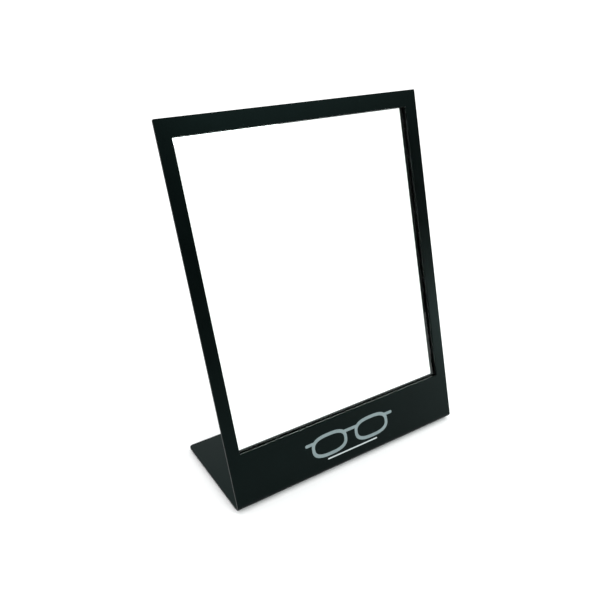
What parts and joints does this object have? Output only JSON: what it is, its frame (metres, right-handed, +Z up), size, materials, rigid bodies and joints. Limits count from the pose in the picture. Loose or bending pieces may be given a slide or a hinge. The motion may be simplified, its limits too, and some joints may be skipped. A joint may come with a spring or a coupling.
{
  "type": "countertop mirror",
  "caption": "Small leaning mirror for an optician's counter: a folded black sheet-metal frame with a base, a taped-in glass mirror and rubber bumpers.",
  "frame": {"origin": "under the middle of the object's box, on the surface that it stands on", "axes": "+Z up, the mirror faces -Y and leans back towards +Y, +X is to the right of a person who looks into the mirror"},
  "size_m": [0.216, 0.0906, 0.2726],
  "materials": {
    "black_powder_coat": "satin, fine orange peel",
    "float_glass": "clear float glass, ground edges",
    "silver_coat": "reflecting silver under grey protective paint",
    "backing_film": "satin film",
    "foam_tape": "matte foam",
    "bumper_rubber": "matte",
    "bumper_adhesive": "satin",
    "silver_ink": "satin screen print",
    "white_ink": "satin screen print"
  },
  "bodies": {
    "root": {"stand": "black_powder_coat", "mirror_glass": "float_glass", "mirror_silvering": "silver_coat", "backing_film": "backing_film", "tape_top": "foam_tape", "tape_bottom": "foam_tape", "tape_left": "foam_tape", "tape_right": "foam_tape", "foot_front_left": "bumper_rubber", "foot_front_right": "bumper_rubber", "foot_rear_left": "bumper_rubber", "foot_rear_right": "bumper_rubber", "foot_pad_front_left": "bumper_adhesive", "foot_pad_front_right": "bumper_adhesive", "foot_pad_rear_left": "bumper_adhesive", "foot_pad_rear_right": "bumper_adhesive", "printed_spectacles": "silver_ink", "printed_rule": "white_ink"}
  },
  "joints": []
}
